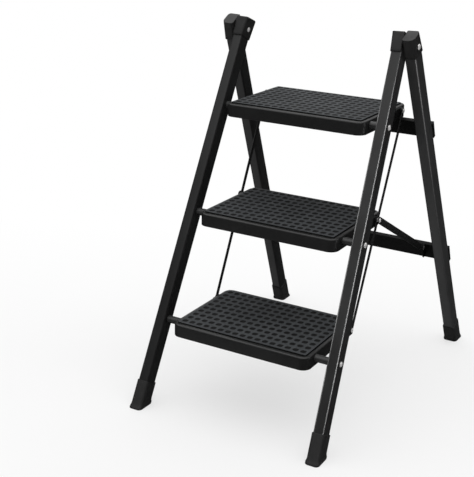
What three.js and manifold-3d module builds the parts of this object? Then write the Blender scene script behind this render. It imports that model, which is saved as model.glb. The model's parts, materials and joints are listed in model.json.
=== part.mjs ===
// Folding three-step ladder: an A-frame of two front rails and two rear rails hinged together at the top,
// with three tray steps that swing up on axles in the front rails and are tied together by flat link bars.
// Millimetres, +Z up, the climbing side faces -Y, origin on the floor under the middle of the footprint.
import * as THREE from 'three';
import { mergeVertices } from 'three/addons/utils/BufferGeometryUtils.js';
import Module from 'manifold-3d';

const wasm = await Module();
wasm.setup();

// Frame
const HINGE_Y = 10.1;
const HINGE_Z = 853;
const FRONT_LEAN = THREE.MathUtils.degToRad(25.3);
const REAR_LEAN = THREE.MathUtils.degToRad(24.1);
const RUNNING_GAP = 0.3;

// Rails: rounded rectangular steel tube
const FRONT_RAIL = {
  width: 26, depth: 38, radius: 4.5, wall: 1.5, topX: 204.7, splay: 0.032, outer: 1, capTop: 25, capWall: 1.5,
};
const REAR_RAIL = {
  width: 28, depth: 38, radius: 4.5, wall: 1.5, topX: 232.6, splay: 0.04, outer: -1, capTop: 27, capWall: 2,
};
const RAIL_TOP = 9;
const RAIL_END_ABOVE_FLOOR = 14;

// Hinge caps and hinge bolts
const CAP_BELOW = 21;
const CAP_DEPTH = 46;
const CAP_BACK_RADIUS = 11;
const CAP_FRONT_RADIUS = 3;
const BOLT_RADIUS = 4;
const BOLT_HEAD_RADIUS = 6.5;
const BOLT_HEAD_HEIGHT = 2.4;

// Feet
const FOOT_LENGTH = 50;
const FOOT_WALL = 2.5;
const SOLE_FLARE = 2;
const SOLE_HEIGHT = 9;

// Steps: distances down the front rails from the hinge to each axle
const STEP_NAMES = ['top', 'middle', 'bottom'];
const FIRST_AXLE = 190;
const STEP_PITCH = 268;
const TRAY_WIDTH = 358;
const TRAY_FRONT = 43;
const TRAY_REAR = 217;
const TRAY_ABOVE = 13;
const TRAY_BELOW = 18;
const TRAY_RADIUS = 22;
const TRAY_EDGE = 3;
const SHEET = 1.5;
const PLATE_THICKNESS = 1.2;
const MAT_RECESS = 2;
const RIM_SIDE = 10;
const RIM_END = 12;
const MAT_RADIUS = 4;
const MAT_THICKNESS = 4.5;

// Axles and their rivets
const AXLE_RADIUS = 9;
const AXLE_WALL = 2;
const RIVET_RADIUS = 4;
const RIVET_HEAD_RADIUS = 6;
const RIVET_HEAD_HEIGHT = 2;

// Link bars: joint position behind and above each axle
const JOINT_BACK = 174;
const JOINT_UP = 2.5;
const ROD_WIDTH = 11;
const ROD_THICKNESS = 2.3;
const ROD_X = 185.4;
const ROD_EYE = 7;
const BRACKET_PLATE = 2.5;
const BRACKET_LENGTH = 34;
const BRACKET_HEIGHT = 22;
const BOSS_RADIUS = 7;
const PIN_RADIUS = 3;
const PIN_HEAD_RADIUS = 5.5;
const PIN_HEAD_HEIGHT = 1.6;

// Braces from the middle step to the lower crossbar
const BRACE_WIDTH = 17;
const BRACE_THICKNESS = 2.4;
const BRACE_X = 190.2;
const BRACE_SLANT = 10.5;
const BRACE_FOOT_X = BRACE_X + BRACE_SLANT;
const BRACE_FOOT_DOWN = 622;
const BRACE_FOOT_BACK = 9;

// Rear crossbars: channel bars behind the rear rails, open at the back, with closed ends
const CROSSBAR_DEPTH = 12;
const CROSSBAR_WALL = 1.8;
const UPPER_CROSSBAR = { down: 223, height: 42, halfLength: 256 };
const LOWER_CROSSBAR = { down: 618, height: 46, halfLength: 270 };
const LUG_THICKNESS = 2.5;
const LUG_REACH = 8;
const LUG_HEIGHT = 38;

const material = (color, roughness, metalness) =>
  new THREE.MeshStandardMaterial({ color, roughness, metalness });
const paintedSteel = material(0x2b2c2e, 0.45, 0.3);
const traySteel = material(0x232426, 0.4, 0.3);
const matPlastic = material(0x34363a, 0.8, 0);
const capPlastic = material(0x1a1a1c, 0.6, 0);
const footRubber = material(0x18181a, 0.75, 0);
const zincSteel = material(0xb4b6b8, 0.3, 0.9);
const axleSteel = material(0x55575a, 0.4, 0.7);

function solid(geometry) {
  const bare = geometry.clone();
  bare.deleteAttribute('normal');
  bare.deleteAttribute('uv');
  const merged = mergeVertices(bare.index ? bare.toNonIndexed() : bare, 1e-4);
  return new wasm.Manifold(new wasm.Mesh({
    numProp: 3,
    vertProperties: Float32Array.from(merged.attributes.position.array),
    triVerts: Uint32Array.from(merged.index.array),
  }));
}

function geometryOf(manifold) {
  const mesh = manifold.getMesh();
  const geometry = new THREE.BufferGeometry();
  geometry.setAttribute('position', new THREE.BufferAttribute(mesh.vertProperties, 3));
  geometry.setIndex(new THREE.BufferAttribute(mesh.triVerts, 1));
  return geometry;
}

function box(minX, maxX, minY, maxY, minZ, maxZ) {
  const geometry = new THREE.BoxGeometry(maxX - minX, maxY - minY, maxZ - minZ);
  geometry.translate((minX + maxX) / 2, (minY + maxY) / 2, (minZ + maxZ) / 2);
  return geometry;
}

// Cylinder along X from minX to maxX, centred on y, z
function rod(radius, minX, maxX, y, z, segments = 20) {
  const geometry = new THREE.CylinderGeometry(radius, radius, maxX - minX, segments);
  geometry.rotateZ(Math.PI / 2);
  geometry.translate((minX + maxX) / 2, y, z);
  return geometry;
}

function roundedRect(halfX, minY, maxY, radius) {
  const shape = new THREE.Shape();
  shape.moveTo(-halfX + radius, minY);
  shape.lineTo(halfX - radius, minY);
  shape.absarc(halfX - radius, minY + radius, radius, -Math.PI / 2, 0);
  shape.lineTo(halfX, maxY - radius);
  shape.absarc(halfX - radius, maxY - radius, radius, 0, Math.PI / 2);
  shape.lineTo(-halfX + radius, maxY);
  shape.absarc(-halfX + radius, maxY - radius, radius, Math.PI / 2, Math.PI);
  shape.lineTo(-halfX, minY + radius);
  shape.absarc(-halfX + radius, minY + radius, radius, Math.PI, 1.5 * Math.PI);
  return shape;
}

// Prism standing on minZ with its outline in X and Y
function prism(shape, minZ, maxZ, curveSegments = 4) {
  const geometry = new THREE.ExtrudeGeometry(shape, { depth: maxZ - minZ, bevelEnabled: false, curveSegments });
  geometry.translate(0, 0, minZ);
  return geometry;
}

// Flat bar lying in the plane of Y and Z, with round ends about the points from and to
function flatBar(from, to, width, minX, maxX) {
  const length = from.distanceTo(to);
  const radius = width / 2;
  const shape = new THREE.Shape();
  shape.absarc(0, 0, radius, Math.PI / 2, 1.5 * Math.PI);
  shape.absarc(length, 0, radius, -Math.PI / 2, Math.PI / 2);
  const geometry = new THREE.ExtrudeGeometry(shape, { depth: maxX - minX, bevelEnabled: false, curveSegments: 8 });
  const along = to.clone().sub(from).normalize();
  const across = new THREE.Vector2(-along.y, along.x);
  const basis = new THREE.Matrix4().makeBasis(
    new THREE.Vector3(0, along.x, along.y),
    new THREE.Vector3(0, across.x, across.y),
    new THREE.Vector3(1, 0, 0),
  );
  geometry.applyMatrix4(basis);
  geometry.translate(minX, from.x, from.y);
  return geometry;
}

function mesh(name, geometry, look) {
  const part = new THREE.Mesh(geometry, look);
  part.name = name;
  return part;
}

// Mirror copy for the left side, keeping the faces pointing outwards
function mirrored(manifold) {
  const geometry = geometryOf(manifold).toNonIndexed();
  geometry.scale(-1, 1, 1);
  const positions = geometry.attributes.position;
  for (let i = 0; i < positions.count; i += 3) {
    const second = new THREE.Vector3().fromBufferAttribute(positions, i + 1);
    const third = new THREE.Vector3().fromBufferAttribute(positions, i + 2);
    positions.setXYZ(i + 1, third.x, third.y, third.z);
    positions.setXYZ(i + 2, second.x, second.y, second.z);
  }
  return geometry;
}

function addPair(parent, name, manifold, look) {
  parent.add(mesh(`${name}_right`, geometryOf(manifold), look));
  parent.add(mesh(`${name}_left`, mirrored(manifold), look));
}

// A group hanging from the hinge axis whose -Z runs down the plane of one pair of rails
function railPlane(lean) {
  const plane = new THREE.Group();
  plane.position.set(0, HINGE_Y, HINGE_Z);
  plane.rotation.x = lean;
  return plane;
}

// Puts geometry built about a straight right-hand rail onto the splayed rail of its plane
function splayed(geometry, rail) {
  geometry.rotateY(-Math.atan(rail.splay));
  geometry.translate(rail.topX, 0, 0);
  return geometry;
}

function railCentreX(rail, down) {
  return rail.topX + rail.splay * down;
}

function floorLength(lean) {
  return HINGE_Z / Math.cos(lean);
}

// Everything below the floor, written in the coordinates of a rail plane
function belowFloor(lean) {
  const geometry = box(-400, 400, -700, 700, -300, 0);
  geometry.translate(0, 0, -HINGE_Z);
  geometry.rotateX(-lean);
  return solid(geometry);
}

function makeRail(rail, lean, holes) {
  const end = -(HINGE_Z - RAIL_END_ABOVE_FLOOR) / Math.cos(lean);
  const half = rail.width / 2;
  const depth = rail.depth / 2;
  const inset = rail.wall;
  const outside = prism(roundedRect(half, -depth, depth, rail.radius), end, -RAIL_TOP);
  const insideShape = roundedRect(half - inset, -depth + inset, depth - inset, rail.radius - inset);
  const inside = prism(insideShape, end - 1, -RAIL_TOP + 1);
  let tube = solid(splayed(outside, rail)).subtract(solid(splayed(inside, rail)));
  for (const down of holes) {
    const x = railCentreX(rail, down);
    tube = tube.subtract(solid(rod(RIVET_RADIUS + RUNNING_GAP, x - half - 3, x + half + 3, 0, -down)));
  }
  return tube;
}

// Cap over a rail's top end, open on the side that faces the other rail of the hinge
function makeCap(rail) {
  const half = rail.width / 2;
  const wallSide = half + rail.capWall;
  const depth = CAP_DEPTH / 2;
  const top = rail.capTop;
  const back = CAP_BACK_RADIUS;
  const front = CAP_FRONT_RADIUS;
  const outline = new THREE.Shape();
  outline.moveTo(-depth, -CAP_BELOW);
  outline.lineTo(depth, -CAP_BELOW);
  outline.lineTo(depth, top - back);
  outline.absarc(depth - back, top - back, back, 0, Math.PI / 2);
  outline.absarc(-depth + front, top - front, front, Math.PI / 2, Math.PI);
  const block = new THREE.ExtrudeGeometry(outline, { depth: half + wallSide, bevelEnabled: false, curveSegments: 6 });
  block.applyMatrix4(new THREE.Matrix4().makeBasis(
    new THREE.Vector3(0, 1, 0), new THREE.Vector3(0, 0, 1), new THREE.Vector3(1, 0, 0),
  ));
  block.translate(rail.outer > 0 ? -wallSide : -half, 0, 0);
  const pocketHalf = half + RUNNING_GAP;
  const pocketDepth = rail.depth / 2 + RUNNING_GAP;
  const pocket = box(-pocketHalf, pocketHalf, -pocketDepth, pocketDepth, -CAP_BELOW - 1, -RAIL_TOP + RUNNING_GAP);
  const hole = rod(BOLT_RADIUS + RUNNING_GAP, rail.topX - 40, rail.topX + 40, 0, 0);
  return solid(splayed(block, rail)).subtract(solid(splayed(pocket, rail))).subtract(solid(hole));
}

function makeFoot(rail, lean) {
  const floor = -floorLength(lean);
  const half = rail.width / 2 + FOOT_WALL;
  const depth = rail.depth / 2 + FOOT_WALL;
  const radius = rail.radius + FOOT_WALL;
  const sleeve = prism(roundedRect(half, -depth, depth, radius), floor - 40, floor + FOOT_LENGTH);
  const sole = prism(
    roundedRect(half + SOLE_FLARE, -depth - SOLE_FLARE, depth + SOLE_FLARE, radius),
    floor - 40, floor + SOLE_HEIGHT,
  );
  const end = -(HINGE_Z - RAIL_END_ABOVE_FLOOR) / Math.cos(lean) - RUNNING_GAP;
  const gap = RUNNING_GAP;
  const pocketShape = roundedRect(half - FOOT_WALL + gap, -depth + FOOT_WALL - gap, depth - FOOT_WALL + gap,
    rail.radius + gap);
  const pocket = prism(pocketShape, end, floor + FOOT_LENGTH + 1);
  return solid(splayed(sleeve, rail)).add(solid(splayed(sole, rail)))
    .subtract(solid(splayed(pocket, rail))).subtract(belowFloor(lean));
}

// Round-headed pin along X: shank from minX to headX with a domed head on the outer end
function makeRivet(radius, minX, headX, headRadius, headHeight, y, z) {
  const profile = [
    new THREE.Vector2(0, 0),
    new THREE.Vector2(radius, 0),
    new THREE.Vector2(radius, headX - minX),
    new THREE.Vector2(headRadius, headX - minX),
    new THREE.Vector2(headRadius * 0.8, headX - minX + headHeight * 0.75),
    new THREE.Vector2(0, headX - minX + headHeight),
  ];
  const geometry = new THREE.LatheGeometry(profile, 16);
  geometry.rotateZ(-Math.PI / 2);
  geometry.translate(minX, y, z);
  return solid(geometry);
}

function makeHingeBolt() {
  const innerFace = FRONT_RAIL.topX - FRONT_RAIL.width / 2 - FRONT_RAIL.capWall - RUNNING_GAP;
  const outerFace = REAR_RAIL.topX + REAR_RAIL.width / 2 + REAR_RAIL.capWall + RUNNING_GAP + 0.3;
  const bolt = makeRivet(BOLT_RADIUS, innerFace, outerFace, BOLT_HEAD_RADIUS, BOLT_HEAD_HEIGHT, 0, 0);
  const innerHead = new THREE.CylinderGeometry(BOLT_HEAD_RADIUS, BOLT_HEAD_RADIUS * 0.8, BOLT_HEAD_HEIGHT, 16);
  innerHead.rotateZ(-Math.PI / 2);
  innerHead.translate(innerFace - BOLT_HEAD_HEIGHT / 2, 0, 0);
  return bolt.add(solid(innerHead));
}

function makeTray() {
  const halfX = TRAY_WIDTH / 2;
  const outlineInset = roundedRect(halfX - TRAY_EDGE, -TRAY_FRONT + TRAY_EDGE, TRAY_REAR - TRAY_EDGE,
    TRAY_RADIUS - TRAY_EDGE);
  const block = new THREE.ExtrudeGeometry(outlineInset, {
    depth: TRAY_ABOVE + TRAY_BELOW, bevelThickness: TRAY_EDGE, bevelSize: TRAY_EDGE, bevelSegments: 2, curveSegments: 6,
  });
  block.translate(0, 0, -TRAY_BELOW - TRAY_EDGE);
  const below = box(-halfX - 1, halfX + 1, -TRAY_FRONT - 1, TRAY_REAR + 1, -TRAY_BELOW - 10, -TRAY_BELOW);
  const underside = TRAY_ABOVE - MAT_RECESS - PLATE_THICKNESS;
  const cavityShape = roundedRect(halfX - SHEET, -TRAY_FRONT + SHEET, TRAY_REAR - SHEET, TRAY_RADIUS - SHEET);
  const cavity = prism(cavityShape, -TRAY_BELOW - 11, underside, 6);
  const recessShape = roundedRect(halfX - RIM_SIDE, -TRAY_FRONT + RIM_END, TRAY_REAR - RIM_END, MAT_RADIUS);
  const recess = prism(recessShape, TRAY_ABOVE - MAT_RECESS, TRAY_ABOVE + 1);
  const bore = rod(AXLE_RADIUS + RUNNING_GAP, -halfX - 5, halfX + 5, 0, 0);
  return solid(block).subtract(solid(below)).subtract(solid(cavity)).subtract(solid(recess)).subtract(solid(bore));
}

function makeMat() {
  const side = TRAY_WIDTH / 2 - RIM_SIDE - RUNNING_GAP;
  const end = RIM_END + RUNNING_GAP;
  const shape = roundedRect(side, -TRAY_FRONT + end, TRAY_REAR - end, MAT_RADIUS - RUNNING_GAP);
  const bottom = TRAY_ABOVE - MAT_RECESS + RUNNING_GAP;
  return solid(prism(shape, bottom, bottom + MAT_THICKNESS));
}

function makeBracket() {
  const side = TRAY_WIDTH / 2 + RUNNING_GAP;
  const start = new THREE.Vector2(JOINT_BACK - BRACKET_LENGTH + BRACKET_HEIGHT / 2, JOINT_UP - 3);
  const end = new THREE.Vector2(JOINT_BACK, JOINT_UP - 3);
  const plate = solid(flatBar(start, end, BRACKET_HEIGHT, side, side + BRACKET_PLATE));
  const boss = solid(rod(BOSS_RADIUS, side + BRACKET_PLATE / 2, ROD_X - RUNNING_GAP, JOINT_BACK, JOINT_UP));
  const hole = solid(rod(PIN_RADIUS + RUNNING_GAP, side - 5, ROD_X + 5, JOINT_BACK, JOINT_UP));
  return plate.add(boss).subtract(hole);
}

function makeAxle(down) {
  const half = railCentreX(FRONT_RAIL, down) - FRONT_RAIL.width / 2 - 2 * RUNNING_GAP;
  const tube = solid(rod(AXLE_RADIUS, -half, half, 0, -down));
  return tube.subtract(solid(rod(AXLE_RADIUS - AXLE_WALL, -half - 1, half + 1, 0, -down)));
}

function makeAxleRivet(down) {
  const centre = railCentreX(FRONT_RAIL, down);
  const half = FRONT_RAIL.width / 2;
  const headX = centre + half + 2 * RUNNING_GAP;
  return makeRivet(RIVET_RADIUS, centre - half - 12, headX, RIVET_HEAD_RADIUS, RIVET_HEAD_HEIGHT, 0, -down);
}

// Joint of a step with its link bars, in the coordinates of the front rail plane
function jointInFrontPlane(down) {
  const back = JOINT_BACK * Math.cos(FRONT_LEAN) - JOINT_UP * Math.sin(FRONT_LEAN);
  const up = JOINT_BACK * Math.sin(FRONT_LEAN) + JOINT_UP * Math.cos(FRONT_LEAN);
  return new THREE.Vector2(back, up - down);
}

function makeLinkRod(downs) {
  const joints = downs.map(jointInFrontPlane);
  const top = joints[0];
  const bottom = joints[joints.length - 1];
  let bar = solid(flatBar(bottom, top, ROD_WIDTH, ROD_X, ROD_X + ROD_THICKNESS));
  for (const joint of joints) {
    bar = bar.add(solid(rod(ROD_EYE, ROD_X, ROD_X + ROD_THICKNESS, joint.x, joint.y)));
  }
  for (const joint of joints) {
    bar = bar.subtract(solid(rod(PIN_RADIUS + RUNNING_GAP, ROD_X - 3, ROD_X + 6, joint.x, joint.y)));
  }
  return bar;
}

function makeJointRivet() {
  const start = TRAY_WIDTH / 2 + 2 * RUNNING_GAP;
  const headX = ROD_X + ROD_THICKNESS + RUNNING_GAP;
  return makeRivet(PIN_RADIUS, start, headX, PIN_HEAD_RADIUS, PIN_HEAD_HEIGHT, JOINT_BACK, JOINT_UP);
}

// Points of the brace in world Y and Z
function axleInWorld(down) {
  return new THREE.Vector2(HINGE_Y - down * Math.sin(FRONT_LEAN), HINGE_Z - down * Math.cos(FRONT_LEAN));
}

function braceTop() {
  return axleInWorld(FIRST_AXLE + STEP_PITCH).add(new THREE.Vector2(JOINT_BACK, JOINT_UP));
}

function braceFoot() {
  const y = BRACE_FOOT_DOWN * Math.sin(REAR_LEAN) + BRACE_FOOT_BACK * Math.cos(REAR_LEAN);
  const z = -BRACE_FOOT_DOWN * Math.cos(REAR_LEAN) + BRACE_FOOT_BACK * Math.sin(REAR_LEAN);
  return new THREE.Vector2(HINGE_Y + y, HINGE_Z + z);
}

// Moves a bar's foot end outwards, and the rest in proportion, down to nothing at its top end
function slanted(geometry, foot, top) {
  const length = foot.distanceTo(top);
  const slope = top.clone().sub(foot).normalize().multiplyScalar(-BRACE_SLANT / length);
  const offset = BRACE_SLANT - slope.dot(foot);
  geometry.applyMatrix4(new THREE.Matrix4().set(
    1, slope.x, slope.y, offset,
    0, 1, 0, 0,
    0, 0, 1, 0,
    0, 0, 0, 1,
  ));
  return geometry;
}

function makeBrace() {
  const top = braceTop();
  const foot = braceFoot();
  let bar = solid(slanted(flatBar(foot, top, BRACE_WIDTH, BRACE_X, BRACE_X + BRACE_THICKNESS), foot, top));
  for (const end of [top, foot]) {
    bar = bar.subtract(solid(rod(PIN_RADIUS + RUNNING_GAP, BRACE_X - 3, BRACE_FOOT_X + 6, end.x, end.y)));
  }
  return bar;
}

function makeBraceTopRivet() {
  const top = braceTop();
  const headX = BRACE_X + BRACE_THICKNESS + 2 * RUNNING_GAP;
  return makeRivet(PIN_RADIUS, BRACE_X, headX, PIN_HEAD_RADIUS, PIN_HEAD_HEIGHT, top.x, top.y);
}

function lugX() {
  return BRACE_FOOT_X + BRACE_THICKNESS + 3 * RUNNING_GAP;
}

function makeBraceFootRivet() {
  return makeRivet(PIN_RADIUS, BRACE_FOOT_X - 1, lugX() + LUG_THICKNESS + RUNNING_GAP, PIN_HEAD_RADIUS,
    PIN_HEAD_HEIGHT, BRACE_FOOT_BACK, -BRACE_FOOT_DOWN);
}

function makeCrossbar(bar) {
  const front = REAR_RAIL.depth / 2 + RUNNING_GAP;
  const back = front + CROSSBAR_DEPTH;
  const top = -bar.down;
  const bottom = top - bar.height;
  const length = bar.halfLength;
  const wall = CROSSBAR_WALL;
  const block = solid(box(-length, length, front, back, bottom, top));
  return block.subtract(solid(box(wall - length, length - wall, front + wall, back + 1, bottom + wall, top - wall)));
}

function makeLug() {
  const x = lugX();
  const front = BRACE_FOOT_BACK - LUG_REACH;
  const back = REAR_RAIL.depth / 2 + RUNNING_GAP + CROSSBAR_WALL / 2;
  const top = -BRACE_FOOT_DOWN + LUG_REACH;
  const plate = solid(box(x, x + LUG_THICKNESS, front, back, top - LUG_HEIGHT, top));
  const hole = rod(PIN_RADIUS + RUNNING_GAP, x - 5, x + 5, BRACE_FOOT_BACK, -BRACE_FOOT_DOWN);
  return plate.subtract(solid(hole));
}

function makeLowerCrossbar() {
  const lug = makeLug();
  return makeCrossbar(LOWER_CROSSBAR).add(lug).add(solid(mirrored(lug)));
}

const group = new THREE.Group();
const axleDowns = STEP_NAMES.map((name, index) => FIRST_AXLE + index * STEP_PITCH);

const frontPlane = railPlane(-FRONT_LEAN);
addPair(frontPlane, 'front_rail', makeRail(FRONT_RAIL, FRONT_LEAN, axleDowns), paintedSteel);
addPair(frontPlane, 'front_cap', makeCap(FRONT_RAIL), capPlastic);
addPair(frontPlane, 'front_foot', makeFoot(FRONT_RAIL, -FRONT_LEAN), footRubber);
addPair(frontPlane, 'hinge_bolt', makeHingeBolt(), zincSteel);
axleDowns.forEach((down, index) => {
  frontPlane.add(mesh(`axle_${STEP_NAMES[index]}`, geometryOf(makeAxle(down)), axleSteel));
  addPair(frontPlane, `axle_rivet_${STEP_NAMES[index]}`, makeAxleRivet(down), zincSteel);
});
addPair(frontPlane, 'link_rod', makeLinkRod(axleDowns), paintedSteel);
group.add(frontPlane);

const rearPlane = railPlane(REAR_LEAN);
addPair(rearPlane, 'rear_rail', makeRail(REAR_RAIL, REAR_LEAN, []), paintedSteel);
addPair(rearPlane, 'rear_cap', makeCap(REAR_RAIL), capPlastic);
addPair(rearPlane, 'rear_foot', makeFoot(REAR_RAIL, REAR_LEAN), footRubber);
rearPlane.add(mesh('crossbar_upper', geometryOf(makeCrossbar(UPPER_CROSSBAR)), paintedSteel));
rearPlane.add(mesh('crossbar_lower', geometryOf(makeLowerCrossbar()), paintedSteel));
addPair(rearPlane, 'brace_foot_rivet', makeBraceFootRivet(), zincSteel);
group.add(rearPlane);

addPair(group, 'brace', makeBrace(), paintedSteel);
addPair(group, 'brace_top_rivet', makeBraceTopRivet(), zincSteel);

axleDowns.forEach((down, index) => {
  const step = new THREE.Group();
  const pivot = axleInWorld(down);
  step.position.set(0, pivot.x, pivot.y);
  const name = `step_${STEP_NAMES[index]}`;
  step.add(mesh(`${name}_tray`, geometryOf(makeTray()), traySteel));
  step.add(mesh(`${name}_mat`, geometryOf(makeMat()), matPlastic));
  addPair(step, `${name}_bracket`, makeBracket(), traySteel);
  addPair(step, `${name}_rivet`, makeJointRivet(), zincSteel);
  group.add(step);
});

export default group;
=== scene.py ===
"""Looks of a folding three-step ladder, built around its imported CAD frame.

Sizes are in millimetres in the code and turned into metres when a mesh is made. A piece is modelled on the
right-hand side and mirrored for the left. Places come from the joints of the record and the boxes of nodes.
"""

import json
import math

import bmesh
import bpy
from mathutils import Matrix, Vector

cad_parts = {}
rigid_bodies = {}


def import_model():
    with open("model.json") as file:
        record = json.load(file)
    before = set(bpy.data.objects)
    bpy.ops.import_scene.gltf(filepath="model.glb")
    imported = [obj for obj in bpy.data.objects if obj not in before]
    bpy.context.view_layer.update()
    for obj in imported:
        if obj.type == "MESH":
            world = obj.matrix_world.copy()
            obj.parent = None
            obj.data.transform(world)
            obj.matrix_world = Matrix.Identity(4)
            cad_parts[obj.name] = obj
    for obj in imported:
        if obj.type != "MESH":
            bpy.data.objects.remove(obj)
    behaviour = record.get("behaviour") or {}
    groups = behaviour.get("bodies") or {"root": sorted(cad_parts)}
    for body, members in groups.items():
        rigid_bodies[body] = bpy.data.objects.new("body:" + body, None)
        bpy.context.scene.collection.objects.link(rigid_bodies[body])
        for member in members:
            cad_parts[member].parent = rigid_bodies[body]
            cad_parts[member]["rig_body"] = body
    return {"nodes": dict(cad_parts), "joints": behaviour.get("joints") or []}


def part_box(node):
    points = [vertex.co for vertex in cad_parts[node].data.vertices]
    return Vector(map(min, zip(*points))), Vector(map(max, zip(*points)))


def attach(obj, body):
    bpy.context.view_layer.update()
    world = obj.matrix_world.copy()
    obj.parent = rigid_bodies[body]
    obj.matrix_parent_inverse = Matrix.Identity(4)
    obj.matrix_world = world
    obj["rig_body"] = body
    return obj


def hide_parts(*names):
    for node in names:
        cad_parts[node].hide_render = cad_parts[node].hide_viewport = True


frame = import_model()
bpy.context.view_layer.update()

MM = 0.001
SMOOTH_ANGLE = math.radians(38)
WELD_DISTANCE = 1e-6
CORNER_STEPS = 8
JOINTS = {joint["name"]: joint for joint in frame["joints"]}
STEPS = ("top", "middle", "bottom")


def joint_at(name):
    """Place of a joint in millimetres."""
    return Vector(JOINTS[name]["pos_m"]) / MM


# Clearance between pieces that touch on the real ladder
GAP = 0.3
HINGE = joint_at("frame_fold")
FRONT_LEAN = math.radians(-25.3)
REAR_LEAN = math.radians(24.1)
RAIL_RADIUS = 4.5
RAIL_WALL = 1.5


class Rail:
    """Rounded rectangular tube of one pair of legs."""

    def __init__(self, name, width, depth, top_x, splay, lean, closed_side):
        self.name = name
        self.half = width / 2
        self.half_depth = depth / 2
        self.closed_side = closed_side
        self.plane = Matrix.Translation(HINGE) @ Matrix.Rotation(lean, 4, "X")
        outwards = Matrix.Rotation(-math.atan(splay), 4, "Y")
        self.place = self.plane @ Matrix.Translation((top_x, 0, 0)) @ outwards

    def to_height(self, x, y, height):
        """Place along the rail, at this point of its section, where the world height is the one asked for."""
        origin = self.place @ Vector((x, y, 0))
        along = (self.place @ Vector((x, y, 1))) - origin
        return (height - origin.z) / along.z


FRONT = Rail("front", 26, 38, 204.7, 0.032, FRONT_LEAN, -1)
REAR = Rail("rear", 28, 38, 232.6, 0.04, REAR_LEAN, 1)


# ---------------------------------------------------------------- mesh tools

def arc(x, y, radius, first, last, steps):
    """Points on a circle round x, y, from one angle to another in degrees."""
    angles = [math.radians(first + (last - first) * k / steps) for k in range(steps + 1)]
    return [(x + radius * math.cos(angle), y + radius * math.sin(angle)) for angle in angles]


def rounded_rect(x0, x1, y0, y1, radii, steps=CORNER_STEPS):
    """Outline of a rectangle with round corners, anticlockwise from the corner at x0, y0."""
    if not isinstance(radii, (tuple, list)):
        radii = (radii,) * 4
    corners = ((x0, y0, 1, 1, 180), (x1, y0, -1, 1, 270), (x1, y1, -1, -1, 0), (x0, y1, 1, -1, 90))
    points = []
    for (x, y, side_x, side_y, first), radius in zip(corners, radii):
        points += arc(x + side_x * radius, y + side_y * radius, radius, first, first + 90, steps)
    return points


def circle(radius, steps):
    return [(radius * math.cos(2 * math.pi * k / steps), radius * math.sin(2 * math.pi * k / steps))
            for k in range(steps)]


def level(outline, height):
    return [Vector((x, y, height)) for x, y in outline]


def upright(outline, x):
    """An outline of (y, z) pairs stood up at this x."""
    return [Vector((x, y, z)) for y, z in outline]


def skin(loops, ring=False):
    """Surface through closed loops of equal length: a ring, or a body with flat ends."""
    count, rows = len(loops[0]), len(loops)
    faces = []
    for a in range(rows if ring else rows - 1):
        b = (a + 1) % rows
        for i in range(count):
            j = (i + 1) % count
            faces.append((a * count + i, a * count + j, b * count + j, b * count + i))
    if not ring:
        faces.append(tuple(reversed(range(count))))
        faces.append(tuple((rows - 1) * count + i for i in range(count)))
    return [point for loop in loops for point in loop], faces


def join(*shapes):
    points, faces = [], []
    for more_points, more_faces in shapes:
        start = len(points)
        points += more_points
        faces += [tuple(start + i for i in face) for face in more_faces]
    return points, faces


def placed(shape, matrix):
    points, faces = shape
    return [matrix @ Vector(point) for point in points], faces


def mirrored(shape):
    """The same shape on the other side of the ladder."""
    points, faces = shape
    across = [Vector((-point[0], point[1], point[2])) for point in points]
    return across, [tuple(reversed(face)) for face in faces]


def rounding(radius, steps):
    """Pairs of (inset, drop) that turn a sharp edge into a round one, from the side to the top."""
    angles = [math.pi / 2 * k / steps for k in range(steps + 1)]
    return [(radius * (1 - math.cos(angle)), radius * (1 - math.sin(angle))) for angle in angles]


def lathe(profile, steps=28):
    """Body of revolution about X from (x, radius) pairs that begin and end on the axis."""
    least = 0.02
    return skin([upright(circle(max(radius, least), steps), x) for x, radius in profile])


def mesh_of(name, shape, smooth=True, marks=None):
    """A closed mesh in metres, its points welded and its faces turned outwards."""
    points, faces = shape
    mesh = bpy.data.meshes.new(name)
    mesh.from_pydata([Vector(point) * MM for point in points], [], faces)
    # Marks of painted shade, read by the tread mat's material
    if marks is not None:
        layer = mesh.attributes.new("hollow", "FLOAT", "POINT")
        layer.data.foreach_set("value", marks)
    work = bmesh.new()
    work.from_mesh(mesh)
    bmesh.ops.remove_doubles(work, verts=work.verts, dist=WELD_DISTANCE)
    bmesh.ops.recalc_face_normals(work, faces=work.faces)
    for face in work.faces:
        face.smooth = smooth
    work.to_mesh(mesh)
    work.free()
    return mesh


def make(node, shape, material, marks=None):
    """A finished piece in place of one CAD node, riding on that node's body."""
    mesh = mesh_of(f"{node}_visual", shape, marks=marks)
    mesh.set_sharp_from_angle(angle=SMOOTH_ANGLE)
    mesh.materials.append(material)
    piece = bpy.data.objects.new(mesh.name, mesh)
    bpy.context.scene.collection.objects.link(piece)
    cad = frame["nodes"][node]
    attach(piece, cad["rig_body"])
    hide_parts(node)
    return piece


def make_pair(node, shape, material):
    """The same piece on the right and, mirrored, on the left."""
    return make(f"{node}_right", shape, material), make(f"{node}_left", mirrored(shape), material)


def bore(piece, shape):
    """Cuts a closed shape out of a piece."""
    cutter = bpy.data.objects.new("cutter", mesh_of("cutter", shape, smooth=False))
    bpy.context.scene.collection.objects.link(cutter)
    modifier = piece.modifiers.new("bore", "BOOLEAN")
    modifier.operation = "DIFFERENCE"
    modifier.solver = "EXACT"
    modifier.object = cutter
    bpy.context.view_layer.update()
    evaluated = piece.evaluated_get(bpy.context.evaluated_depsgraph_get())
    result = bpy.data.meshes.new_from_object(evaluated)
    piece.modifiers.clear()
    uncut = piece.data
    piece.data = result
    result.set_sharp_from_angle(angle=SMOOTH_ANGLE)
    bpy.data.meshes.remove(uncut)
    bpy.data.objects.remove(cutter)


# ---------------------------------------------------------------- materials

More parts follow.
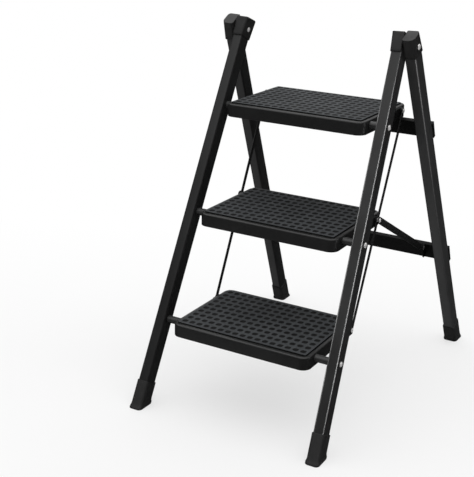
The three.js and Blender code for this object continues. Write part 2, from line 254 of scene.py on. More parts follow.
class Nodes:
    """Short names for the few node set-ups that the finishes and the studio share."""

    def __init__(self, tree):
        self.tree = tree

    def node(self, kind, **values):
        """A new node; a value is a property of the node, or one of its inputs."""
        node = self.tree.nodes.new(kind)
        for key, value in values.items():
            if hasattr(node, key):
                setattr(node, key, value)
            else:
                node.inputs[key.replace("_", " ")].default_value = value
        return node

    def feed(self, socket, value):
        """Gives a socket a number, a colour or another node's output."""
        if isinstance(value, (int, float)):
            socket.default_value = value
        elif isinstance(value, tuple):
            socket.default_value = (*value, 1.0)
        else:
            self.tree.links.new(value, socket)

    def calc(self, operation, first, second):
        node = self.node("ShaderNodeMath", operation=operation)
        self.feed(node.inputs[0], first)
        self.feed(node.inputs[1], second)
        return node.outputs["Value"]

    def dot(self, first, second):
        node = self.node("ShaderNodeVectorMath", operation="DOT_PRODUCT")
        self.tree.links.new(first, node.inputs[0])
        if isinstance(second, Vector):
            node.inputs[1].default_value = second
        else:
            self.tree.links.new(second, node.inputs[1])
        return node.outputs["Value"]

    def ramp(self, value, low, high, out_low=0.0, out_high=1.0, shape="LINEAR"):
        node = self.node("ShaderNodeMapRange", interpolation_type=shape)
        for key, number in (("From Min", low), ("From Max", high), ("To Min", out_low), ("To Max", out_high)):
            node.inputs[key].default_value = number
        self.feed(node.inputs["Value"], value)
        return node.outputs["Result"]

    def seen_by_camera(self):
        """1 for what the camera sees directly, 0 for light that reaches a piece."""
        return self.node("ShaderNodeLightPath").outputs["Is Camera Ray"]

    def blend(self, factor, first, second):
        """Mixture of two shaders."""
        node = self.node("ShaderNodeMixShader")
        for socket, value in zip(node.inputs, (factor, first, second)):
            self.feed(socket, value)
        return node.outputs["Shader"]


class Shader(Nodes):
    """A material with a principled shader."""

    def __init__(self, name):
        self.material = bpy.data.materials.new(name)
        self.material.use_nodes = True
        super().__init__(self.material.node_tree)
        self.bsdf = self.tree.nodes["Principled BSDF"]
        self.coords = self.node("ShaderNodeTexCoord").outputs["Object"]

    def noise(self, scale, detail, roughness=0.55):
        """Noise in the object's own metres: a scale of 1000 has grains of about 1 mm."""
        node = self.node("ShaderNodeTexNoise", Scale=scale, Detail=detail, Roughness=roughness)
        self.feed(node.inputs["Vector"], self.coords)
        return node.outputs["Fac"]

    def mix(self, factor, first, second):
        node = self.node("ShaderNodeMix", data_type="RGBA")
        color_a, color_b = [socket for socket in node.inputs if socket.type == "RGBA"]
        for socket, value in ((node.inputs[0], factor), (color_a, first), (color_b, second)):
            self.feed(socket, value)
        return [socket for socket in node.outputs if socket.type == "RGBA"][0]

    def edges(self, radius):
        """1 on worn convex edges, 0 on flats."""
        bevel = self.node("ShaderNodeBevel", samples=6)
        bevel.inputs["Radius"].default_value = radius * MM
        plain = self.node("ShaderNodeNewGeometry")
        agreement = self.dot(bevel.outputs["Normal"], plain.outputs["Normal"])
        return self.ramp(agreement, 0.995, 0.86)

    def bump(self, height, strength, distance):
        node = self.node("ShaderNodeBump", Strength=strength, Distance=distance * MM)
        self.feed(node.inputs["Height"], height)
        self.feed(self.bsdf.inputs["Normal"], node.outputs["Normal"])

    def set(self, **values):
        for key, value in values.items():
            self.feed(self.bsdf.inputs[key.replace("_", " ")], value)


def grey(value, warm=0.0):
    return (value * (1 + warm), value, value * (1 - warm))


def powder_coat(name, dark, light, rough_low, rough_high, grain, shine=0.5):
    """Black powder-coated steel: fine orange peel, faint cloudiness, edges rubbed a little brighter."""
    shader = Shader(name)
    cloud = shader.ramp(shader.noise(9, detail=4), 0.3, 0.7)
    speck = shader.ramp(shader.noise(1400, detail=2), 0.35, 0.75)
    shade = shader.mix(cloud, grey(dark), grey(light, -0.02))
    shade = shader.mix(shader.calc("MULTIPLY", speck, 0.25), shade, grey(light * 1.8))
    rubbed = shader.ramp(shader.noise(60, detail=3), 0.4, 0.65)
    worn = shader.calc("MULTIPLY", shader.edges(radius=1.2), rubbed)
    shade = shader.mix(shader.calc("MULTIPLY", worn, 0.35), shade, grey(light * 8))
    rough = shader.ramp(shader.noise(14, detail=4), 0.3, 0.7, rough_low, rough_high)
    shader.set(Base_Color=shade, Roughness=rough, Specular_IOR_Level=shine)
    fine = shader.calc("MULTIPLY", shader.noise(grain * 3, detail=1), 0.4)
    shader.bump(shader.calc("ADD", shader.noise(grain, detail=2), fine), strength=0.12, distance=0.25)
    return shader.material


def moulded_plastic(name, dark, light, rough_low, rough_high):
    """Matte black moulded plastic with a spark-eroded grain and handling marks."""
    shader = Shader(name)
    cloud = shader.ramp(shader.noise(24, detail=4), 0.32, 0.68)
    shade = shader.mix(cloud, grey(dark), grey(light))
    scuff = shader.ramp(shader.noise(150, detail=5, roughness=0.7), 0.6, 0.75)
    shade = shader.mix(shader.calc("MULTIPLY", scuff, 0.2), shade, grey(0.09))
    worn = shader.calc("MULTIPLY", shader.edges(radius=1.0), 0.25)
    shade = shader.mix(worn, shade, grey(0.11))
    rough = shader.ramp(shader.noise(40, detail=3), 0.3, 0.7, rough_low, rough_high)
    shader.set(Base_Color=shade, Roughness=rough, Specular_IOR_Level=0.4)
    shader.bump(shader.noise(2200, detail=2), strength=0.25, distance=0.2)
    return shader.material


def tread_rubber(name):
    """Charcoal tread mat: darker in its hollows from cleaner rubber and painted shade, painted shade on its
    border walls, pale dust between the hollows, fine leather grain.
    """
    shader = Shader(name)
    hollow = shader.node("ShaderNodeAttribute", attribute_name="hollow").outputs["Fac"]
    cloud = shader.ramp(shader.noise(12, detail=4), 0.3, 0.7)
    land = shader.mix(cloud, grey(0.046, -0.07), grey(0.062, -0.07))
    dust = shader.ramp(shader.noise(420, detail=4), 0.45, 0.75)
    land = shader.mix(shader.calc("MULTIPLY", dust, 0.25), land, grey(0.10))
    # Painted shade: where the mark is 1 the mat turns near-black, in its hollows and on its border walls
    # where shade falls; in the hollows it also stands for cleaner rubber
    shade = shader.mix(hollow, land, grey(0.004))
    rough = shader.ramp(shader.noise(30, detail=3), 0.3, 0.7, 0.66, 0.82)
    shader.set(Base_Color=shade, Roughness=rough, Specular_IOR_Level=0.18)
    shader.bump(shader.noise(1300, detail=3), strength=0.35, distance=0.25)
    return shader.material


def bright_metal(name, low, high, rough_low, rough_high):
    """Zinc-plated steel with fine turning marks and slightly dull patches."""
    shader = Shader(name)
    cloud = shader.ramp(shader.noise(160, detail=4), 0.3, 0.7)
    shader.set(
        Base_Color=shader.mix(cloud, grey(low), grey(high, 0.02)),
        Roughness=shader.ramp(shader.noise(240, detail=3), 0.3, 0.7, rough_low, rough_high),
        Metallic=0.35,
    )
    shader.bump(shader.noise(900, detail=2), strength=0.1, distance=0.1)
    return shader.material


PAINTED = powder_coat("powder_coat_rails", 0.009, 0.014, 0.30, 0.40, 900)
TRAY_PAINT = powder_coat("powder_coat_trays", 0.009, 0.013, 0.34, 0.44, 1100)
# Painted shade: the crossbars get a much darker copy of the paint, with less shine, for the shade they sit in
# under the steps
CROSSBAR_SHADE_PAINT = powder_coat("powder_coat_crossbars", 0.003, 0.006, 0.5, 0.62, 900, shine=0.12)
# Painted shade: the brackets get a darker copy of the paint, with less shine, for the shade on their sides
BRACKET_SHADE_PAINT = powder_coat("powder_coat_brackets", 0.004, 0.007, 0.45, 0.58, 900, shine=0.2)
CAP_PLASTIC = moulded_plastic("cap_plastic_grain", 0.012, 0.019, 0.46, 0.58)
FOOT_RUBBER = moulded_plastic("foot_rubber_grain", 0.012, 0.018, 0.55, 0.7)
TREAD = tread_rubber("tread_mat_grain")
ZINC = bright_metal("zinc_plate", 0.80, 0.93, 0.26, 0.38)
# Zinc about ten times darker and a little rougher, used for the rivet at the brace's foot
DARK_ZINC = bright_metal("dull_zinc_plate", 0.08, 0.14, 0.4, 0.55)
AXLE_STEEL = powder_coat("axle_tube_coat", 0.020, 0.034, 0.38, 0.5, 700)


# ---------------------------------------------------------------- rails, caps, feet

# Heights along a rail are from the hinge; the rail's end is above the floor
RAIL_TOP = -9
RAIL_END = 14
RAIL_FIT = 0.15
CAP_BELOW = 21
CAP_HALF_DEPTH = 23
CAP_BOTTOM_EDGE = 0.9
CAP_EDGE = 1.4
CAP_LEAST_RADIUS = 0.4
# Points along each deep side of a cap, which let its top curve
CAP_SIDE_POINTS = 14
# Levels of a cap's wall, as shares of its height, and rows of points in from the edge of its top
CAP_LEVELS = (0.15, 0.3, 0.45, 0.6, 0.75, 0.88)
CAP_TOP_INSETS = (3.5, 6, 8.5, 11)
POCKET_BEYOND = 5
# Each cap: height of its front top edge, rise of its top towards the back, radius of its back top edge. Then
# pairs for its bottom and top: its wall, and its plan radii on the wall side and on the mating rail's side.
CAPS = {
    "front": dict(top=25, rise=0.08, back=9, wall=(1.4, 5.0), outer=(6, 6), inner=(5, 2)),
    "rear": dict(top=27, rise=0.06, back=9, wall=(1.6, 1.8), outer=(6, 15), inner=(6.5, 7)),
}
FOOT_WALL = 2.5
FOOT_UP = 55
FOOT_EDGE = 1.2
# Outside of a foot from the floor up: reach beyond its sleeve, and height
FOOT_FLARE = ((1.2, 0), (1.8, 0.4), (2, 1.2), (2, 4.5), (1.4, 6), (0.5, 8.5), (0, 12))
# Mouth of a foot: reach beyond the rail, and depth below the sleeve's top
FOOT_MOUTH = ((0.4, 0.4), (RAIL_FIT, 1.2))


def rail_section(rail, grow):
    half, depth = rail.half + grow, rail.half_depth + grow
    return rounded_rect(-half, half, -depth, depth, RAIL_RADIUS + grow)


def rail_tube(rail):
    outer, inner = rail_section(rail, 0), rail_section(rail, -RAIL_WALL)
    end = rail.to_height(0, 0, RAIL_END)
    loops = [level(outer, end), level(outer, RAIL_TOP), level(inner, RAIL_TOP), level(inner, end)]
    return placed(skin(loops, ring=True), rail.place)


def cap_outline(rail, inset, share):
    """Plan of a hinge cap part-way up: walls round three sides, flush on the side of the mating rail."""
    cap = CAPS[rail.name]

    def part_way(key):
        bottom, top = cap[key]
        return bottom + (top - bottom) * share

    wall, outer, inner = part_way("wall"), part_way("outer"), part_way("inner")
    wall_side, flush = rail.half + wall, rail.half
    if rail.closed_side < 0:
        x0, x1, radii = -wall_side, flush, (outer, inner, inner, outer)
    else:
        x0, x1, radii = -flush, wall_side, (inner, outer, outer, inner)
    radii = [max(radius - inset, CAP_LEAST_RADIUS) for radius in radii]
    outline = rounded_rect(x0 + inset, x1 - inset, -CAP_HALF_DEPTH + inset, CAP_HALF_DEPTH - inset, radii)
    deep_sides = [corner * (CORNER_STEPS + 1) + CORNER_STEPS for corner in (1, 3)]
    points = []
    for k, start in enumerate(outline):
        end = outline[(k + 1) % len(outline)]
        parts = CAP_SIDE_POINTS if k in deep_sides else 1
        step_x, step_y = (end[0] - start[0]) / parts, (end[1] - start[1]) / parts
        points += [(start[0] + step_x * part, start[1] + step_y * part) for part in range(parts)]
    return points


def cap_top(rail, y):
    """Height of the cap's top at this depth: nearly flat, then rounded down towards the back."""
    cap = CAPS[rail.name]
    height = cap["top"] + cap["rise"] * (y + CAP_HALF_DEPTH)
    over = (y - (CAP_HALF_DEPTH - cap["back"])) / cap["back"]
    if over <= 0:
        return height
    return height - cap["back"] * (1 - math.sqrt(max(0.0, 1 - min(over, 1.0) ** 2)))


def hinge_cap(rail):
    loops = [level(cap_outline(rail, inset, 0), -CAP_BELOW + drop)
             for inset, drop in reversed(rounding(CAP_BOTTOM_EDGE, 3))]
    for share in CAP_LEVELS:
        loops.append([Vector((x, y, -CAP_BELOW + share * (cap_top(rail, y) + CAP_BELOW)))
                      for x, y in cap_outline(rail, 0, share)])
    for inset, drop in rounding(CAP_EDGE, 4) + [(inset, 0) for inset in CAP_TOP_INSETS]:
        loops.append([Vector((x, y, cap_top(rail, y) - drop)) for x, y in cap_outline(rail, inset, 1)])
    return placed(skin(loops), rail.place)


def cap_pocket(rail):
    """Space for the rail's end inside its cap."""
    outline = rail_section(rail, RAIL_FIT)
    ends = (-CAP_BELOW - POCKET_BEYOND, RAIL_TOP + GAP)
    return placed(skin([level(outline, end) for end in ends]), rail.place)


def rail_foot(rail):
    """Rubber shoe: a sleeve on the rail, flared to a lip on the floor, hollow down to the rail's end."""
    def parallel_to_floor(grow, height):
        return [Vector((x, y, rail.to_height(x, y, height))) for x, y in rail_section(rail, grow)]

    def square_to_rail(grow, height):
        return level(rail_section(rail, grow), rail.to_height(0, 0, height))

    loops = [parallel_to_floor(FOOT_WALL + reach, height) for reach, height in FOOT_FLARE]
    loops += [square_to_rail(FOOT_WALL - inset, FOOT_UP - drop) for inset, drop in rounding(FOOT_EDGE, 4)]
    loops += [square_to_rail(reach, FOOT_UP - depth) for reach, depth in FOOT_MOUTH]
    loops.append(square_to_rail(RAIL_FIT, RAIL_END - GAP))
    return placed(skin(loops), rail.place)


for rail in (FRONT, REAR):
    make_pair(f"{rail.name}_rail", rail_tube(rail), PAINTED)
    make_pair(f"{rail.name}_foot", rail_foot(rail), FOOT_RUBBER)
    right_cap, left_cap = make_pair(f"{rail.name}_cap", hinge_cap(rail), CAP_PLASTIC)
    bore(right_cap, cap_pocket(rail))
    bore(left_cap, mirrored(cap_pocket(rail)))


# ---------------------------------------------------------------- rivets and bolts

# Straight edge under a dome, and how full the dome is: 1 for an ellipse, less for a flatter top
HEAD_EDGE = 0.3
HEAD_EASE = 0.12
HEAD_FULLNESS = 0.8
HEAD_STEPS = 8
COLLAR_THICK = 0.8
COLLAR_SHARE = 1.18
# Shank radius, head radius and head height
HINGE_BOLT = (4, 6.8, 3.2)
AXLE_RIVET = (4, 5.6, 2)
BAR_RIVET = (3, 4.7, 1.6)


def domed_head(x, radius, height, direction=1):
    """(x, radius) pairs of a round head that stands out from x."""
    pairs = [(0, radius * 0.985), (HEAD_EASE, radius), (HEAD_EDGE, radius)]
    for k in range(1, HEAD_STEPS + 1):
        angle = math.pi / 2 * k / HEAD_STEPS
        pairs.append((HEAD_EDGE + (height - HEAD_EDGE) * math.sin(angle),
                      radius * math.cos(angle) ** HEAD_FULLNESS))
    return [(x + direction * out, r) for out, r in pairs]


def box_of(node):
    """Lowest and highest corners of a CAD node in millimetres."""
    low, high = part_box(node)
    return low / MM, high / MM


def on_axis_of(node, shape):
    """Moves a shape made about X onto the node's own axis."""
    low, high = box_of(node)
    return placed(shape, Matrix.Translation((0, (low.y + high.y) / 2, (low.z + high.z) / 2)))


def rivet(node, size):
    """A rivet in the place of a node: shank from its inner end, collar and domed head at its outer end."""
    radius, head_radius, head_height = size
    low, high = box_of(node)
    head_x = high.x - head_height
    collar_x0, collar_x1 = head_x - COLLAR_THICK, head_x - 0.1
    collar = head_radius * COLLAR_SHARE
    profile = [(low.x, 0), (low.x, radius), (collar_x0, radius), (collar_x0, collar), (collar_x1, collar),
               (collar_x1, head_radius * 0.98)]
    return on_axis_of(node, lathe(profile + domed_head(head_x, head_radius, head_height)))


def hinge_bolt(node):
    """A bolt with a domed head at both ends."""
    radius, head, height = HINGE_BOLT
    low, high = box_of(node)
    inner, outer = low.x + height, high.x - height
    profile = [(low.x, 0)] + list(reversed(domed_head(inner, head, height, -1)))[1:]
    profile += [(inner, radius), (outer, radius), (outer, head)]
    return on_axis_of(node, lathe(profile + domed_head(outer, head, height)))


make_pair("hinge_bolt", hinge_bolt("hinge_bolt_right"), ZINC)
for step in STEPS:
    make_pair(f"axle_rivet_{step}", rivet(f"axle_rivet_{step}_right", AXLE_RIVET), ZINC)
    make_pair(f"step_{step}_rivet", rivet(f"step_{step}_rivet_right", BAR_RIVET), ZINC)
make_pair("brace_foot_rivet", rivet("brace_foot_rivet_right", BAR_RIVET), DARK_ZINC)
make_pair("brace_top_rivet", rivet("brace_top_rivet_right", BAR_RIVET), ZINC)


# ---------------------------------------------------------------- axles, link bars, braces, crossbars

AXLE_WALL = 2
EASED_EDGE = 0.5
BAR_END_STEPS = 12
ROD_WIDTH = 11
EYE_RADIUS = 7
# How far an eye stands proud of its bar
EYE_PROUD = 0.05
BRACE_WIDTH = 17
BRACE_THICK = 2.4
# Inner face of a brace at its top end, and how much further out its foot is
BRACE_X = 190.2
BRACE_SLANT = 10.5
LUG_X = BRACE_X + BRACE_SLANT + BRACE_THICK + 3 * GAP
LUG_THICK = 2.5
LUG_REACH = 8
LUG_HEIGHT = 38
LUG_RADII = (6, 1, 1, 8)
CHANNEL_DEPTH = 12
CHANNEL_WALL = 1.8
CHANNEL_BEND = 2.6
# Overlap that joins an end tab to its channel, and how far its free edge lies inside the channel
TAB_OVERLAP = 0.2
TAB_SUNK = 0.4
TAB_RADII = (1, 0.5, 0.5, 1)
# Distance down from the hinge, height and half of the length
UPPER_CROSSBAR = (223, 42, 256)
LOWER_CROSSBAR = (618, 46, 270)

JOINT_OFFSET = joint_at("link_rod_right_swing") - joint_at("step_middle_tilt")
LINK_JOINTS = [joint_at(f"step_{step}_tilt") + JOINT_OFFSET for step in STEPS]
BRACE_FOOT = joint_at("brace_right_swing")
ROD_X0, ROD_X1 = (corner.x for corner in box_of("link_rod_right"))


def axle(node):
    """Tube along X with eased ends."""
    low, high = box_of(node)
    radius = (high.z - low.z) / 2
    bored = radius - AXLE_WALL
    rows = [(low.x, bored), (low.x, radius - EASED_EDGE), (low.x + EASED_EDGE, radius),
            (high.x - EASED_EDGE, radius), (high.x, radius - EASED_EDGE), (high.x, bored)]
    return on_axis_of(node, skin([upright(circle(r, 40), x) for x, r in rows], ring=True))


def flat_bar(start, end, width, x0, x1, edge=EASED_EDGE, slant=0.0):
    """Flat bar with round ends in the plane of Y and Z, its edges eased, its start moved out by slant."""
    along = Vector((0, end[0] - start[0], end[1] - start[1]))
    length = along.length
    along.normalize()
    across = Vector((0, -along.z, along.y))
    origin = Vector((0, start[0], start[1]))
    loops = []
    for x, inset in ((x0, edge), (x0 + edge, 0), (x1 - edge, 0), (x1, edge)):
        radius = width / 2 - inset
        outline = arc(0, 0, radius, 90, 270, BAR_END_STEPS) + arc(length, 0, radius, -90, 90, BAR_END_STEPS)
        loops.append([origin + along * a + across * b + Vector((x + slant * (1 - a / length), 0, 0))
                      for a, b in outline])
    return skin(loops)


def disc(x0, x1, radius, y, z, edge=EASED_EDGE):
    profile = [(x0, 0), (x0, radius - edge), (x0 + edge, radius),
               (x1 - edge, radius), (x1, radius - edge), (x1, 0)]
    return placed(lathe(profile, 32), Matrix.Translation((0, y, z)))


def link_rod():
    """Flat bar from the bottom step to the top one, with an eye at each step."""
    top, _, bottom = LINK_JOINTS
    eyes = [disc(ROD_X0 - EYE_PROUD, ROD_X1 + EYE_PROUD, EYE_RADIUS, at.y, at.z) for at in LINK_JOINTS]
    return join(flat_bar(bottom.yz, top.yz, ROD_WIDTH, ROD_X0, ROD_X1), *eyes)


def brace():
    """Flat bar from the lower crossbar to the middle step, its foot further out than its top."""
    top = LINK_JOINTS[1]
    return flat_bar(BRACE_FOOT.yz, top.yz, BRACE_WIDTH, BRACE_X, BRACE_X + BRACE_THICK, slant=BRACE_SLANT)


def plate_pair(outline, x0, x1):
    """The same upright plate on both sides of the ladder."""
    return [skin([upright(outline, side * x) for x in (x0, x1)]) for side in (1, -1)]


def crossbar(size, lugs=False):
    """Pressed channel behind the rear rails, open to the back, with round outer bends and closed ends."""
    down, height, half_length = size
    front = REAR.half_depth + GAP
    back = front + CHANNEL_DEPTH
    top, bottom = -down, -down - height
    wall, bend, overlap = CHANNEL_WALL, CHANNEL_BEND, TAB_OVERLAP
    bend_y, low_z, high_z = front + bend, bottom + bend, top - bend
    section = [(back, bottom), (back, bottom + wall)]
    section += arc(bend_y, low_z, bend - wall, 270, 180, 6) + arc(bend_y, high_z, bend - wall, 180, 90, 6)
    section += [(back, top - wall), (back, top)]
    section += arc(bend_y, high_z, bend, 90, 180, 6) + arc(bend_y, low_z, bend, 180, 270, 6)
    shapes = [skin([upright(section, x) for x in (-half_length, half_length)])]
    tab = rounded_rect(front + wall - overlap, back - TAB_SUNK, bottom + wall - overlap, top - wall + overlap,
                       TAB_RADII, 3)
    shapes += plate_pair(tab, half_length - wall - 0.1, half_length - 0.1)
    if lugs:
        foot = REAR.plane.inverted() @ Vector((0, BRACE_FOOT.y, BRACE_FOOT.z))
        lug_top = foot.z + LUG_REACH
        lug = rounded_rect(foot.y - LUG_REACH, front + wall / 2, lug_top - LUG_HEIGHT, lug_top, LUG_RADII, 6)
        shapes += plate_pair(lug, LUG_X, LUG_X + LUG_THICK)
    return placed(join(*shapes), REAR.plane)


for step in STEPS:
    make(f"axle_{step}", axle(f"axle_{step}"), AXLE_STEEL)
make_pair("link_rod", link_rod(), PAINTED)
make_pair("brace", brace(), PAINTED)
make("crossbar_upper", crossbar(UPPER_CROSSBAR), CROSSBAR_SHADE_PAINT)
make("crossbar_lower", crossbar(LOWER_CROSSBAR, lugs=True), CROSSBAR_SHADE_PAINT)


# ---------------------------------------------------------------- steps

# A step's own coordinates start on its axle
TRAY_HALF = 179
TRAY_FRONT = 43
TRAY_REAR = 217
TRAY_ABOVE = 13
TRAY_BELOW = 18
TRAY_RADIUS = 22
TRAY_ROLL = 4.5
HEM = 0.4
HEM_SIDE = 0.5
SHEET = 1.5
PLATE = 1.2
RIM_SIDE = 10
RIM_END = 12
MAT_RECESS = 2
MAT_RADIUS = 4
MAT_THICK = 4.5
COLUMNS, ROWS = 17, 10
PITCH_X, PITCH_Y = 19.5, 23.0
CELL_STEPS = 4
HOLLOW_RADIUS = 7.3
HOLLOW_DEPTH = 1.4
HOLLOW_SQUARENESS = 0.06
# Rings of a hollow: share of its radius, share of its depth, and how dark it is, as painted shade along with
# cleaner rubber
HOLLOW_RINGS = (
    (1.08, 0.0, 0.0),
    (1.0, 0.1, 0.5),
    (0.9, 0.65, 1.0),
    (0.78, 0.93, 1.0),
    (0.42, 1.0, 1.0),
)
# Border of a mat from the top down: inset, depth below the top, and how dark it is, as painted shade for the
# dark gap between the mat and the tray's rim
MAT_EDGE = ((0.8, 0.0, 0.0), (0.23, 0.23, 0.3), (0.0, 0.8, 1.0), (0.0, MAT_THICK, 1.0))
BRACKET_WIDTH = 22
BRACKET_LENGTH = 23
BRACKET_THICK = 2.5
BRACKET_DROP = 3
BRACKET_EDGE = 0.6
BOSS_START = 1.2
BOSS_EDGE = 0.4


def tray_outline(inset, radius=None, end=0.0):
    """Plan of the tray, moved in by inset, and by a little more at its two ends."""
    radius = max(TRAY_RADIUS - inset, 1) if radius is None else radius
    return rounded_rect(-TRAY_HALF + inset, TRAY_HALF - inset, -TRAY_FRONT + inset + end,
                        TRAY_REAR - inset - end, radius, 10)


def tray():
    """Pressed tray: straight skirt, rolled rim, a recess for the mat, hollow below."""
    top, bottom = TRAY_ABOVE, -TRAY_BELOW
    under = top - MAT_RECESS - PLATE
    hem = [level(tray_outline(SHEET), bottom + HEM), level(tray_outline(SHEET - HEM), bottom),
           level(tray_outline(HEM), bottom), level(tray_outline(0), bottom + HEM_SIDE)]
    rim = [level(tray_outline(inset), top - drop) for inset, drop in rounding(TRAY_ROLL, 8)]
    inner = RIM_SIDE - 1.4
    more = RIM_END - RIM_SIDE
    sharper = (12 - MAT_RADIUS) * 0.6
    for share in (1 / 3, 2 / 3, 1):
        inset = TRAY_ROLL + (inner - TRAY_ROLL) * share
        rim.append(level(tray_outline(inset, TRAY_RADIUS - inset - sharper * share, more * share), top))
    rim.append(level(tray_outline(RIM_SIDE - 0.5, MAT_RADIUS + 1.2, more), top - 0.4))
    rim.append(level(tray_outline(RIM_SIDE, MAT_RADIUS, more), top - 1.1))
    rim.append(level(tray_outline(RIM_SIDE, MAT_RADIUS, more), top - MAT_RECESS))
    inside = [level(tray_outline(SHEET), bottom + 4), level(tray_outline(SHEET), under - 3),
              level(tray_outline(SHEET + 0.9), under - 0.9), level(tray_outline(SHEET + 3), under)]
    return skin(list(reversed(hem + rim)) + inside)


class Sheet:
    """Points and faces of a surface as it grows, with a mark of how dark each point is."""

    def __init__(self):
        self.points, self.faces, self.marks = [], [], []

    def add(self, x, y, z, mark=0.0):
        self.points.append(Vector((x, y, z)))
        self.marks.append(mark)
        return len(self.points) - 1

    def band(self, outer, inner):
        """Faces between two closed rows of as many points."""
        for k in range(len(outer)):
            following = (k + 1) % len(outer)
            self.faces.append((outer[k], outer[following], inner[following], inner[k]))

    def fill(self, *rows):
        """Flat triangles between closed rows of points."""
        work = bmesh.new()
        made = {index: work.verts.new(self.points[index]) for row in rows for index in row}
        for row in rows:
            for k, index in enumerate(row):
                work.edges.new((made[index], made[row[(k + 1) % len(row)]]))
        bmesh.ops.triangle_fill(work, use_beauty=True, use_dissolve=False, edges=work.edges[:],
                                normal=(0.0, 0.0, 1.0))
        index_of = {vertex: index for index, vertex in made.items()}
        self.faces += [tuple(index_of[vertex] for vertex in face.verts) for face in work.faces]
        work.free()


def walk_round(across, up):
    """Places round a grid, anticlockwise from its first corner."""
    walk = [(k, 0) for k in range(across)] + [(across, k) for k in range(up)]
    return walk + [(across - k, up) for k in range(across)] + [(0, up - k) for k in range(up)]


def add_cells(sheet, middle_y, top):
    """Grid of cells with a round hollow in each. Returns the points round the grid."""
    corners = {}

    def corner(i, j):
        """Point on the border of a cell; neighbouring cells use the same one."""
        if (i, j) not in corners:
            corners[i, j] = sheet.add((i / CELL_STEPS - COLUMNS / 2) * PITCH_X,
                                      (j / CELL_STEPS - ROWS / 2) * PITCH_Y + middle_y, top)
        return corners[i, j]

    walk = walk_round(CELL_STEPS, CELL_STEPS)
    angles = [math.atan2(j - CELL_STEPS / 2, i - CELL_STEPS / 2) for i, j in walk]
    for column in range(COLUMNS):
        for row in range(ROWS):
            x = (column + 0.5 - COLUMNS / 2) * PITCH_X
            y = (row + 0.5 - ROWS / 2) * PITCH_Y + middle_y
            outer = [corner(column * CELL_STEPS + i, row * CELL_STEPS + j) for i, j in walk]
            for scale, share, mark in HOLLOW_RINGS:
                inner = []
                for angle in angles:
                    reach = HOLLOW_RADIUS * scale * (1 + HOLLOW_SQUARENESS * math.cos(4 * angle + math.pi))
                    inner.append(sheet.add(x + reach * math.cos(angle), y + reach * math.sin(angle),
                                           top - share * HOLLOW_DEPTH, mark))
                sheet.band(outer, inner)
                outer = inner
            sheet.faces.append(tuple(outer))
    return [corners[place] for place in walk_round(COLUMNS * CELL_STEPS, ROWS * CELL_STEPS)]


def mat():
    """Tread mat with a grid of round hollows. Returns the shape and how dark each of its points is, as
    painted shade.
    """
    x1 = TRAY_HALF - RIM_SIDE - GAP
    y0, y1 = -TRAY_FRONT + RIM_END + GAP, TRAY_REAR - RIM_END - GAP
    top = TRAY_ABOVE - MAT_RECESS + GAP + MAT_THICK
    sheet = Sheet()
    rim = add_cells(sheet, (y0 + y1) / 2, top)
    border = []
    for inset, depth, mark in MAT_EDGE:
        outline = rounded_rect(-x1 + inset, x1 - inset, y0 + inset, y1 - inset, MAT_RADIUS - GAP, 6)
        border.append([sheet.add(x, y, top - depth, mark) for x, y in outline])
    for upper, lower in zip(border, border[1:]):
        sheet.band(lower, upper)
    sheet.faces.append(tuple(border[-1]))
    sheet.fill(rim, border[0])
    return (sheet.points, sheet.faces), sheet.marks


def bracket():
    """Plate on the tray's side with a boss for the link bar's rivet."""
    y, z = JOINT_OFFSET.y, JOINT_OFFSET.z
    side = TRAY_HALF + GAP
    back, front = (y - BRACKET_LENGTH, z - BRACKET_DROP), (y, z - BRACKET_DROP)
    plate = flat_bar(back, front, BRACKET_WIDTH, side, side + BRACKET_THICK, BRACKET_EDGE)
    return join(plate, disc(side + BOSS_START, ROD_X0 - GAP, EYE_RADIUS, y, z, BOSS_EDGE))


tray_shape = tray()
mat_shape, mat_marks = mat()
bracket_shape = bracket()
for step in STEPS:
    at = Matrix.Translation(joint_at(f"step_{step}_tilt"))
    make(f"step_{step}_tray", placed(tray_shape, at), TRAY_PAINT)
    make(f"step_{step}_mat", placed(mat_shape, at), TREAD, mat_marks)
    make_pair(f"step_{step}_bracket", placed(bracket_shape, at), BRACKET_SHADE_PAINT)


# ---------------------------------------------------------------- floor, light, camera

# Lengths from here on are in metres
FLOOR_HALF = 30
FLOOR_GLOW = 0.6
# Where the floor starts to fade into the white behind it, and where it has
FADE_START, FADE_END = 0.1, 1.3
VIEW_SLOPE = 0.58
BASE_LIGHT = 0.03
# Soft patches of light in the surroundings: direction, outer and inner angle in degrees, strength
LOBES = (
    ((0, 0, 1), 72, 35, 1.6),
    ((-0.47, 0.85, 0.2), 40, 12, 0.45),
    ((-0.46, -0.48, -0.75), 32, 13, 0.4),
)
LAMP_LENGTH = 0.95
LAMP_MIDDLE = -0.44
# Rail, direction of the lamp from it, distance, width, watts, and whether it lights the paint all over
RAIL_LAMPS = {
    "strip_right": (FRONT, (0.88, -0.40, 0.247), 0.7, 0.3, 18, False),
    "strip_left": (FRONT, (-0.95, -0.1, 0.1), 0.6, 0.5, 9, False),
    "rear_fill": (REAR, (0.7, -0.68, -0.2), 1.2, 0.6, 18, True),
}
CAMERA_AT = Vector((1.07427, -2.20225, 1.21219))
CAMERA_YAW, CAMERA_PITCH, CAMERA_ROLL = (math.radians(angle) for angle in (30.13, -19.41, 1.17))
CAMERA_LENS = 78.47
CAMERA_SENSOR = 36


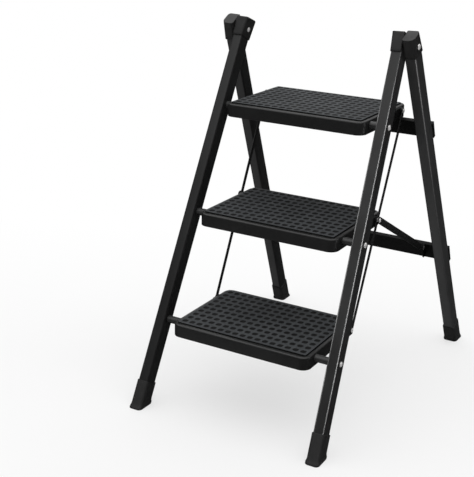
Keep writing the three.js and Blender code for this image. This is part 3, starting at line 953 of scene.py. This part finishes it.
def rail_lamp(name, rail, away, reach, width, power, all_over):
    """Soft lamp along a right-hand rail, lighting that rail alone, all over or only as a highlight."""
    lit = bpy.data.collections.new(name)
    lit.objects.link(bpy.data.objects[f"{rail.name}_rail_right_visual"])
    light = bpy.data.lights.new(name, "AREA")
    light.shape = "RECTANGLE"
    light.size, light.size_y = width, LAMP_LENGTH
    light.energy = power
    lamp = bpy.data.objects.new(name, light)
    along = (rail.place.to_3x3() @ Vector((0, 0, 1))).normalized()
    out = Vector(away)
    out = (out - along * out.dot(along)).normalized()
    middle = rail.place @ Vector((0, 0, LAMP_MIDDLE / MM)) * MM
    turn = Matrix((along.cross(out), along, out)).transposed().to_4x4()
    lamp.matrix_world = Matrix.Translation(middle + out * reach) @ turn
    lamp.visible_camera = False
    lamp.visible_diffuse = all_over
    lamp.light_linking.receiver_collection = lit
    lamp.light_linking.blocker_collection = lit
    bpy.context.scene.collection.objects.link(lamp)


def floor():
    """Pale floor that fades into white away from the camera."""
    corners = [(FLOOR_HALF * x, FLOOR_HALF * y, 0) for x, y in ((-1, -1), (1, -1), (1, 1), (-1, 1))]
    mesh = bpy.data.meshes.new("floor")
    mesh.from_pydata(corners, [], [(0, 1, 2, 3)])
    plane = bpy.data.objects.new("floor", mesh)
    bpy.context.scene.collection.objects.link(plane)
    shader = Shader("floor_paper")
    cloud = shader.ramp(shader.noise(1.5, detail=3), 0.3, 0.7)
    shader.set(Base_Color=shader.mix(cloud, grey(0.80), grey(0.83)), Roughness=0.8, Specular_IOR_Level=0.1)
    glow = shader.node("ShaderNodeEmission", Strength=1.0)
    axes = shader.node("ShaderNodeSeparateXYZ")
    shader.feed(axes.inputs[0], shader.coords)
    aside = shader.calc("MULTIPLY", axes.outputs["X"], VIEW_SLOPE)
    away = shader.calc("SUBTRACT", axes.outputs["Y"], aside)
    far = shader.ramp(away, FADE_START, FADE_END, FLOOR_GLOW, 1.0)
    glowing = shader.calc("MULTIPLY", far, shader.seen_by_camera())
    surface = shader.blend(glowing, shader.bsdf.outputs["BSDF"], glow.outputs["Emission"])
    shader.feed(shader.tree.nodes["Material Output"].inputs["Surface"], surface)
    mesh.materials.append(shader.material)
    plane.visible_glossy = False


def studio():
    """Soft studio: white to the camera, and for the pieces bright above, dim behind and low in front."""
    world = bpy.data.worlds.new("studio")
    bpy.context.scene.world = world
    world.use_nodes = True
    world.node_tree.nodes.clear()
    nodes = Nodes(world.node_tree)
    direction = nodes.node("ShaderNodeTexCoord").outputs["Generated"]
    strength = BASE_LIGHT
    for toward, outer, inner, power in LOBES:
        facing = nodes.dot(direction, Vector(toward).normalized())
        low, high = math.cos(math.radians(outer)), math.cos(math.radians(inner))
        patch = nodes.ramp(facing, low, high, 0.0, power, "SMOOTHSTEP")
        strength = nodes.calc("ADD", strength, patch)
    lit = nodes.node("ShaderNodeBackground", Color=(1, 1, 1, 1))
    nodes.feed(lit.inputs["Strength"], strength)
    seen = nodes.node("ShaderNodeBackground", Color=(1, 1, 1, 1), Strength=1.0)
    surface = nodes.blend(nodes.seen_by_camera(), lit.outputs["Background"], seen.outputs["Background"])
    nodes.feed(nodes.node("ShaderNodeOutputWorld").inputs["Surface"], surface)


def add_camera():
    """Camera at its place, turned by yaw, pitch and roll from looking along +Y."""
    camera = bpy.data.objects.new("camera", bpy.data.cameras.new("camera"))
    camera.data.sensor_width = CAMERA_SENSOR
    camera.data.lens = CAMERA_LENS
    forward = Vector((-math.sin(CAMERA_YAW) * math.cos(CAMERA_PITCH),
                      math.cos(CAMERA_YAW) * math.cos(CAMERA_PITCH), math.sin(CAMERA_PITCH)))
    level_right = forward.cross(Vector((0, 0, 1))).normalized()
    level_up = level_right.cross(forward)
    right = level_right * math.cos(CAMERA_ROLL) + level_up * math.sin(CAMERA_ROLL)
    up = level_up * math.cos(CAMERA_ROLL) - level_right * math.sin(CAMERA_ROLL)
    turn = Matrix((right, up, -forward)).transposed().to_4x4()
    camera.matrix_world = Matrix.Translation(CAMERA_AT) @ turn
    bpy.context.scene.collection.objects.link(camera)
    bpy.context.scene.camera = camera


for name, values in RAIL_LAMPS.items():
    rail_lamp(name, *values)
floor()
studio()
add_camera()
bpy.context.scene.view_settings.view_transform = "Standard"

bpy.context.view_layer.update()
